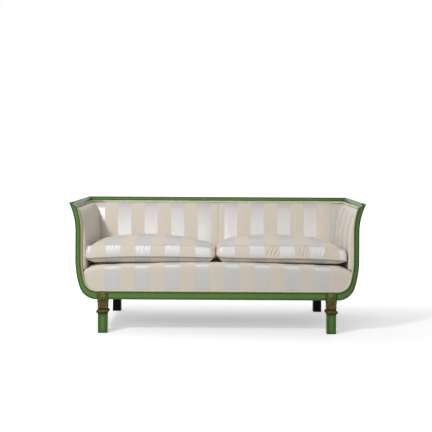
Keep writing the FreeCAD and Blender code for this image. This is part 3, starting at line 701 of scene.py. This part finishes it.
def puffUp(piece, held):
    # inflates a closed cover like a filled cushion, no point moving further than the cap
    rest = points(piece)
    group = piece.vertex_groups.new(name="held")
    group.add([int(i) for i in np.flatnonzero(held)], 1.0, "REPLACE")
    cloth = piece.modifiers.new("puff", "CLOTH")
    for key, value in filling["cloth"].items():
        setattr(cloth.settings, key, value)
    cloth.settings.uniform_pressure_force = filling["pressure"]
    cloth.settings.effector_weights.gravity = 0.0
    cloth.collision_settings.use_collision = False
    cloth.point_cache.frame_start = 1
    cloth.point_cache.frame_end = filling["frames"]
    for i in range(1, filling["frames"] + 1):
        scene.frame_set(i)
    applyAll(piece)
    scene.frame_set(1)
    cap = filling["cap"]
    move = points(piece) - rest
    far = np.linalg.norm(move, axis=1, keepdims=True) + 1e-9
    setPoints(piece, rest + move * (cap * np.tanh(far / cap) / far))
    piece.vertex_groups.clear()


def roundedPlan(x, y, half, corner):
    # moves the points of a rectangle's corners onto arcs
    overX = np.abs(x) - (half[0] - corner)
    overY = np.abs(y) - (half[1] - corner)
    inCorner = (overX > 0) & (overY > 0)
    share = np.maximum(overX, overY) / (np.hypot(overX, overY) + 1e-12)
    x = np.where(inCorner, np.sign(x) * (half[0] - corner + overX * share), x)
    y = np.where(inCorner, np.sign(y) * (half[1] - corner + overY * share), y)
    return x, y


def cushionForm(grid, middle, half, ends, crown, lowSeam):
    # grid is a cube from -1 to 1 that becomes the stuffed cushion; returns places and the seam points
    size = cushion
    u = grid[:, 0]
    t = (grid[:, 2] + 1) / 2
    w = grid[:, 1] * (1 + size["rowSpread"] * (1 - grid[:, 1] ** 2))
    fromU = np.abs(u)
    fromW = np.abs(w)
    onSide = (np.abs(fromU - 1) < near) | (np.abs(fromW - 1) < near)
    onTop = t > 1 - near / 2
    onFoot = t < near / 2
    x, y = roundedPlan(half[0] * u, half[1] * w, half, size["corner"])
    # the sides pull in between the corners and lean back, and the band swells between the seams
    swell = size["bandSwell"] * np.sin(np.pi * t) * onSide
    lean = size["lean"] * t
    pullX = size["drawIn"] * (1 - w ** size["bowPower"]) - swell + size["endLean"] * lean
    pullY = size["drawIn"] * (1 - u ** size["bowPower"]) - swell + lean
    x = x - np.sign(u) * fromU ** size["drawPower"] * pullX
    y = y - np.sign(w) * fromW ** size["drawPower"] * pullY
    # the two seams, with their drops at the ends and behind
    highDrop, lowDrop, pinch, sag = (np.where(u < 0, left, right) for left, right in zip(*ends))
    pinch = pinch * fromU ** size["pinchPower"]
    lowZ = lowSeam - lowDrop * fromU ** size["lowPower"] + size["lowPinch"] * pinch
    rearDrop = size["rearDrop"] * (size["rearMiddle"] + (1 - size["rearMiddle"]) * u ** 2) * ease(w, 0.0, 1.0)
    sag = sag * fromU ** size["sagPower"] * (1 - w ** 2)
    highZ = size["highSeam"] - highDrop * fromU ** size["highPower"] - pinch - sag - rearDrop
    # the band between them, the crown above and the turned-up underside
    z = lowZ + (highZ - lowZ) * t
    fall = 1 - fromU ** np.where(u < 0, crown[1], crown[2])
    z = np.where(onTop, highZ + crown[0] * fall * (1 - fromW ** size["crownPower"]), z)
    front = np.clip(1 - half[1] * (1 - fromW) / size["tuck"], 0, 1)
    end = np.clip(1 - half[0] * (1 - fromU) / size["tuckEnd"], 0, 1)
    lift = np.maximum(1 - np.sqrt(1 - front ** 2), end ** size["tuckEndPower"])
    z = np.where(onFoot, size["deck"] + (lowZ - size["deck"]) * lift, z)
    outerEnd = ease(u * np.sign(middle[0]), size["noseEnd"], 1.0) * ease(-w, size["noseFront"], 1.0)
    x = x + np.sign(u) * size["nose"] * outerEnd
    y = y - size["nose"] * outerEnd
    return np.c_[x + middle[0] + size["shift"], y + middle[1], z], onSide & onTop, onSide & onFoot


def creases(p, n, rows):
    # short folds on the front band, leaning as the stuffing pulls them
    size = cushion
    z = p[:, 2]
    middleZ = (size["leftSeam"] + size["highSeam"]) / 2
    band = bell(z, middleZ + size["creaseRise"], size["creaseBand"]) * ease(-n[:, 1], *size["creaseFacing"])
    lift = np.zeros(len(p))
    stray = drift(p, size["strayScale"], 31)
    for place, reach, lean, height in rows:
        across = p[:, 0] - place - lean * (z - middleZ)
        fold = np.cos(2 * np.pi * (across + size["creaseStray"] * stray) / size["creaseGap"])
        fold = fold + size["creaseSharp"] * fold ** 3
        uneven = size["creaseShare"] + size["creaseUneven"] * stray
        lift += height * uneven * fold * bell(across, 0.0, reach)
    return lift * band


def seatCushion(side, sign, material):
    size = cushion
    half = ((size["outer"] - size["inner"]) / 2, (size["back"] - size["front"]) / 2)
    middle = (sign * (size["outer"] + size["inner"]) / 2, (size["back"] + size["front"]) / 2)
    nodeName = side + "_seat_cushion"
    body = side + "_cushion"
    box = dividedBox(*size["grid"])
    piece = addPiece(nodeName + "_cover", box, body, "striped_cover", material, nodeName)
    form, topSeam, footSeam = cushionForm(points(piece), middle, half, size[side + "Ends"],
                                          size[side + "Crown"], size[side + "Seam"])
    setPoints(piece, form)
    puffUp(piece, topSeam | footSeam)
    rings = []
    for seam in (topSeam, footSeam):
        ring = points(piece)[seam]
        around = np.arctan2((ring[:, 1] - middle[1]) / half[1], (ring[:, 0] - middle[0]) / half[0])
        rings.append(ring[np.argsort(around)])
    subdivide(piece)
    p = points(piece)
    n = normals(piece)
    lift = creases(p, n, size[side + "Creases"])
    uneven = drift(p, size["unevenScale"], 3 + sign) * ease(n[:, 2], *size["unevenFacing"])
    lift += size["uneven"] * uneven
    p += n * lift[:, None]
    # it stays between the deck, the back, the arm and the other cushion
    p[:, 2] = np.maximum(p[:, 2], size["deck"])
    p[:, 1] = np.minimum(p[:, 1], size["back"])
    outer = size["armFace"] + (size["nose"] + size["armRoom"]) * ease(-p[:, 1], *size["armFront"])
    inward = sign * (p[:, 0] - size["shift"])
    p[:, 0] = sign * np.clip(inward, size["inner"] - size["innerRoom"], outer) + size["shift"]
    setPoints(piece, p)
    # the lower piping takes the dark cloth with its painted shade
    for label, ring, cloth in zip(("upper", "lower"), rings, (material, seamCloth)):
        tube(nodeName + "_" + label + "_piping", ring, size[label + "Piping"], body, "striped_cover", cloth)


seatCushion("left", -1, coverX)
seatCushion("right", 1, coverRight)
print("cushions made")


# fixed upholstery
pads = {
    "backVoxel": 0.008, "armVoxel": 0.007, "borderVoxel": 0.007, "deckVoxel": 0.012,
    "rounds": 4, "deckRounds": 3, "armFrontRounds": 8, "crestRounds": 3,  # how often each is smoothed
    "uneven": 0.0012, "unevenScale": 6.0, "swell": 0.0018,
    "topUp": 0.001, "topRun": (0.68, 0.73),  # the pads fill up to the rails
    # back pads: they meet in the middle, filled forward there, and tuck in behind the arms
    "centreFill": 0.008, "centreRun": (0.004, 0.06), "fillFacing": (0.1, 0.6),
    "seamFill": 0.006, "seamRun": (0.004, 0.03),
    "tuckIn": 0.007, "tuckRun": (0.70, 0.76),
    # arm pads: the front strip reaches down to the border, and what lies before armFront is smoothed more
    "strip": 0.027, "stripFront": (0.32, 0.35), "stripFoot": (0.34, 0.42), "armFront": -0.335,
    # border: its crest is arched, with full shoulders and lower ends, and is smoothed more above crestFoot
    "crest": 0.002, "crestRun": (0.33, 0.40), "crestFoot": 0.36,
    "arch": 0.005, "archReach": 0.45, "shoulder": 0.001, "shoulderPlace": 0.58, "shoulderReach": 0.2,
    "endDrop": 0.006, "endRun": (0.69, 0.77), "endFoot": (0.32, 0.37),
}


def fixedPad(nodeName, material, voxel, rounds):
    piece = addPiece(nodeName + "_cover", mergedCopy(nodeName), "frame", "striped_cover", material, nodeName)
    voxelSkin(piece, voxel)
    relax(piece, rounds)
    setPoints(piece, points(piece) + pads["swell"] * normals(piece))
    return piece


def unevenPad(piece, seed):
    subdivide(piece)
    p = points(piece)
    p += normals(piece) * (pads["uneven"] * drift(p, pads["unevenScale"], seed))[:, None]
    setPoints(piece, p)


def backPad(side, sign):
    piece = fixedPad(side + "_back_pad", coverBack, pads["backVoxel"], pads["rounds"])
    p = points(piece)
    forward = pads["centreFill"] * (1 - ease(np.abs(p[:, 0]), *pads["centreRun"]))
    p[:, 1] -= forward * ease(-normals(piece)[:, 1], *pads["fillFacing"])
    p[:, 0] += sign * pads["tuckIn"] * ease(np.abs(p[:, 0]), *pads["tuckRun"])
    p[:, 0] -= sign * pads["seamFill"] * (1 - ease(np.abs(p[:, 0]), *pads["seamRun"]))
    p[:, 2] += pads["topUp"] * ease(p[:, 2], *pads["topRun"])
    setPoints(piece, p)
    unevenPad(piece, 5 + sign)


def armPad(side, sign):
    piece = fixedPad(side + "_arm_pad", coverArm[side], pads["armVoxel"], pads["rounds"])
    relax(piece, pads["armFrontRounds"], keep=points(piece)[:, 1] > pads["armFront"])
    p = points(piece)
    p[:, 2] -= pads["strip"] * ease(-p[:, 1], *pads["stripFront"]) * (1 - ease(p[:, 2], *pads["stripFoot"]))
    p[:, 2] += pads["topUp"] * ease(p[:, 2], *pads["topRun"])
    setPoints(piece, p)
    unevenPad(piece, 9 + sign)


def frontBorder():
    piece = fixedPad("front_border", coverBorder, pads["borderVoxel"], pads["rounds"])
    relax(piece, pads["crestRounds"], keep=points(piece)[:, 2] < pads["crestFoot"])
    p = points(piece)
    fromMiddle = np.abs(p[:, 0])
    rise = pads["crest"] + pads["arch"] * bell(fromMiddle, 0.0, pads["archReach"])
    rise += pads["shoulder"] * bell(fromMiddle, pads["shoulderPlace"], pads["shoulderReach"])
    p[:, 2] += ease(p[:, 2], *pads["crestRun"]) * rise
    p[:, 2] -= pads["endDrop"] * ease(fromMiddle, *pads["endRun"]) * ease(p[:, 2], *pads["endFoot"])
    setPoints(piece, p)
    unevenPad(piece, 13)


for side, sign in (("left", -1), ("right", 1)):
    backPad(side, sign)
    armPad(side, sign)
frontBorder()
fixedPad("seat_deck", coverX, pads["deckVoxel"], pads["deckRounds"])
print("fixed upholstery made")


# welts
welt = {
    "voxel": 0.0019, "rounds": 3, "uneven": 0.0004, "unevenScale": 60.0,
    "full": 0.0030, "front": 0.0020, "centre": 0.0013,  # how far each swells
    "sunk": 0.0008,  # how far the front welt lies behind its place
}


def weltCord(nodeName, material, swell, move=0.0):
    piece = addPiece(nodeName + "_cord", mergedCopy(nodeName), "frame", "welt_cord", material, nodeName)
    voxelSkin(piece, welt["voxel"])
    relax(piece, welt["rounds"])
    p = points(piece)
    p += normals(piece) * (swell + welt["uneven"] * drift(p, welt["unevenScale"], 21))[:, None]
    p[:, 1] += move
    setPoints(piece, p)


for nodeName in ("left_arm_welt", "right_arm_welt", "back_welt"):
    weltCord(nodeName, weltCloth, welt["full"])
weltCord("front_welt", weltCloth, welt["front"], welt["sunk"])
weltCord("back_centre_welt", coverBack, welt["centre"], -pads["centreFill"])
print("welts made")


# outside covers and dust cover
outside = {
    "thickness": 0.0016, "step": 0.022, "facing": 0.05, "flatAngle": 0.5,
    "armSunk": 0.004, "armDeep": 0.26, "armHigh": 0.2,
    "backSwell": 0.002, "backEdge": 0.83, "backRun": 0.2, "backHigh": 0.16,
    "dustSag": 0.004, "dustRun": 0.25, "dustStep": 0.04,
}


def thicken(piece):
    wall = piece.modifiers.new("wall", "SOLIDIFY")
    wall.thickness = outside["thickness"]
    wall.offset = -1.0
    applyAll(piece)


def cutGrid(bm, axis, low, high, step):
    way = Vector((0, 0, 0))
    way[axis] = 1
    for place in np.arange(low[axis] + step, high[axis] - step / 3, step):
        bmesh.ops.bisect_plane(bm, geom=bm.verts[:] + bm.edges[:] + bm.faces[:], dist=1e-6,
                               plane_co=way * float(place), plane_no=way)


def outerSkin(nodeName, way, axes, step):
    # the outer face of a CAD cover, with its triangles joined where they lie flat, then cut into a grid
    bm = mergedCopy(nodeName)
    way = Vector(way)
    inner = [f for f in bm.faces if f.normal.dot(way) < outside["facing"]]
    bmesh.ops.delete(bm, geom=inner, context="FACES")
    flat = math.radians(outside["flatAngle"])
    bmesh.ops.dissolve_limit(bm, angle_limit=flat, verts=bm.verts, edges=bm.edges)
    low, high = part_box(nodeName)
    for axis in axes:
        cutGrid(bm, axis, low, high, step)
    return bm, low, high


def outsideArm(side, sign):
    nodeName = side + "_outside_arm_cover"
    bm, low, high = outerSkin(nodeName, (sign, 0, -0.6), (1, 2), outside["step"])
    piece = addPiece(nodeName + "_cloth", bm, "frame", "striped_cover", coverArm["right"], nodeName)
    p = points(piece)
    middleY = bell(p[:, 1], (low.y + high.y) / 2, outside["armDeep"])
    middleZ = bell(p[:, 2], (low.z + high.z) / 2, outside["armHigh"])
    p[:, 0] -= sign * outside["armSunk"] * middleY * middleZ
    setPoints(piece, p)
    thicken(piece)


def outsideBack():
    bm, low, high = outerSkin("outside_back_cover", (0, 1, 0), (0, 2), outside["step"])
    piece = addPiece("outside_back_cover_cloth", bm, "frame", "striped_cover", coverX, "outside_back_cover")
    p = points(piece)
    fromEdge = ease(outside["backEdge"] - np.abs(p[:, 0]), 0.0, outside["backRun"])
    p[:, 1] += outside["backSwell"] * fromEdge * bell(p[:, 2], (low.z + high.z) / 2, outside["backHigh"])
    setPoints(piece, p)
    thicken(piece)


def dustCover():
    bm, low, high = outerSkin("dust_cover", (0, 0, -1), (0, 1), outside["dustStep"])
    piece = addPiece("dust_cover_cloth", bm, "frame", "dust_cloth", dustCloth, "dust_cover")
    p = points(piece)
    run = outside["dustRun"]
    fromSides = ease(high.x - np.abs(p[:, 0]), 0.0, run)
    fromEnds = ease(p[:, 1] - low.y, 0.0, run) * ease(high.y - p[:, 1], 0.0, run)
    p[:, 2] -= outside["dustSag"] * fromSides * fromEnds
    setPoints(piece, p)
    thicken(piece)


outsideArm("left", -1)
outsideArm("right", 1)
outsideBack()
dustCover()
print("outside covers made")


# gilt leg mounts
capital = {
    "grid": (48, 48, 40), "lip": 0.007, "lipBead": 0.0010,
    "groundIn": 0.005, "groundTaper": 0.001, "groundPower": 1.6,  # the ground behind the leaves
    "midLeaf": 0.50, "cornerLeaf": 0.40, "leaf": 0.0026, "leafSlope": 0.3, "leafTip": 1.02,
    "lobes": 3.5, "lobeCut": 0.22, "curl": 0.0026, "curlRun": (0.62, 0.95),
    "vein": 0.0007, "veinSlant": 1.6, "midrib": 1.6, "midribWidth": 0.035,
    "neck": 0.004, "neckRun": (0.06, 0.13),
}


def alongSide(p):
    # where along its side of a square column a point lies
    onX = np.abs(p[:, 0]) >= np.abs(p[:, 1])
    return np.where(onX, p[:, 1] * np.sign(p[:, 0]), -p[:, 0] * np.sign(p[:, 1]))


def leaves(s, rise):
    # one broad lobed leaf in the middle of each side and half a leaf at each corner, as relief
    lobes = 1 - capital["lobeCut"] * (0.5 + 0.5 * np.cos(2 * np.pi * capital["lobes"] * rise))
    leaf = np.zeros(len(s))
    vein = np.zeros(len(s))
    for aside, width in ((np.abs(s), capital["midLeaf"]), (1 - np.abs(s), capital["cornerLeaf"])):
        edge = width * lobes * np.sqrt(np.clip(capital["leafTip"] - rise ** 3, 0.0, 1)) + 1e-6
        body = ease(1 - aside / edge, 0.0, capital["leafSlope"])
        ribs = np.cos(2 * np.pi * (capital["lobes"] * rise - capital["veinSlant"] * aside))
        leaf = np.maximum(leaf, body)
        vein += body * (ribs - capital["midrib"] * bell(aside, 0.0, capital["midribWidth"]))
    curl = capital["curl"] * leaf * ease(rise, *capital["curlRun"])
    return capital["leaf"] * leaf + capital["vein"] * vein + curl


def legCapital(side):
    nodeName = side + "_leg_capital"
    low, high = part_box(nodeName)
    middle = (low + high) / 2
    box = dividedBox(*capital["grid"])
    piece = addPiece(nodeName + "_leaves", box, "frame", "gilt_bronze", giltBronze, nodeName)
    p = points(piece)
    v = (p[:, 2] + 1) / 2
    headHalf = (high.x - low.x) / 2
    lipV = 1 - capital["lip"] / (high.z - low.z)
    rise = np.clip(v / lipV, 0, 1)
    out = np.maximum(np.abs(p[:, 0]), np.abs(p[:, 1]))
    relief = leaves(alongSide(p) / np.maximum(out, 1e-6), rise)
    relief -= capital["neck"] * (1 - ease(rise, *capital["neckRun"]))
    ground = headHalf - capital["groundIn"] - capital["groundTaper"] * rise ** capital["groundPower"]
    bead = capital["lipBead"] * np.cos(2 * np.pi * (v - lipV) / (1 - lipV))
    half = np.where(v < lipV, ground + relief, headHalf - np.maximum(bead, 0))
    z = low.z + (high.z - low.z) * v
    setPoints(piece, np.c_[middle.x + p[:, 0] * half, middle.y + p[:, 1] * half, z])


collar = {
    "grid": (44, 44, 20), "fillet": 0.0058, "above": 0.0018, "bulge": 0.0100, "ease": 0.0005,
    "neckBelow": 0.0278, "neckAbove": 0.0285, "reed": 0.0009, "reedGap": 0.0088,
}


def legCollar(side):
    nodeName = side + "_leg_collar"
    low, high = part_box(nodeName)
    middle = (low + high) / 2
    box = dividedBox(*collar["grid"])
    piece = addPiece(nodeName + "_reeded", box, "frame", "gilt_bronze", dullBronze, nodeName)
    p = points(piece)
    foot = low.z - collar["fillet"]
    top = high.z + collar["above"]
    z = foot + (top - foot) * (p[:, 2] + 1) / 2
    full = (high.x - low.x) / 2
    rounded = dome(z - middle.z, (high.z - low.z) / 2 + collar["ease"], 1.0)
    neck = np.where(z < middle.z, collar["neckBelow"], collar["neckAbove"])
    half = np.maximum(full - collar["bulge"] * (1 - rounded), neck)
    reeds = np.abs(np.cos(np.pi * alongSide(p) * full / collar["reedGap"]))
    half = half - collar["reed"] * (1 - reeds) * rounded
    setPoints(piece, np.c_[middle.x + p[:, 0] * half, middle.y + p[:, 1] * half, z])


plaque = {
    "grid": (64, 3, 54), "plate": 0.0015, "rim": 0.0035, "rimSlope": 0.0012, "sunk": 0.0010,
    "flower": 0.0030, "flowerReach": 0.0155,
    "petals": 8, "petal": 0.0016, "petalPlace": 0.0095, "petalReach": 0.004,
    "ring": 0.0022, "ringPlace": 0.0165, "ringWidth": 0.0014, "boss": 0.0016, "bossReach": 0.0042,
}


def legRosette(side):
    nodeName = side + "_leg_rosette"
    low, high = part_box(nodeName)
    middle = (low + high) / 2
    half = (high - low) / 2
    box = dividedBox(*plaque["grid"])
    piece = addPiece(nodeName + "_plaque", box, "frame", "gilt_bronze", greenBronze, nodeName)
    p = points(piece)
    x = p[:, 0] * half.x
    z = p[:, 2] * half.z
    inset = np.minimum(half.x - np.abs(x), half.z - np.abs(z))
    radius = np.hypot(x, z)
    relief = plaque["plate"] - plaque["sunk"] * ease(inset, plaque["rim"], plaque["rim"] + plaque["rimSlope"])
    relief += dome(radius, plaque["flowerReach"], plaque["flower"])
    relief += dome(radius, plaque["bossReach"], plaque["boss"])
    petals = np.abs(np.cos(np.arctan2(z, x) * plaque["petals"] / 2))
    relief += plaque["petal"] * petals * bell(radius, plaque["petalPlace"], plaque["petalReach"])
    relief += plaque["ring"] * bell(radius, plaque["ringPlace"], plaque["ringWidth"])
    forward = np.where(p[:, 1] < 0, 0.5 - 0.5 * p[:, 1], 0.0)
    setPoints(piece, np.c_[middle.x + x, high.y - relief * forward, middle.z + z])


for side in ("left", "right"):
    legCapital(side)
    legCollar(side)
    legRosette(side)
print("leg mounts made")
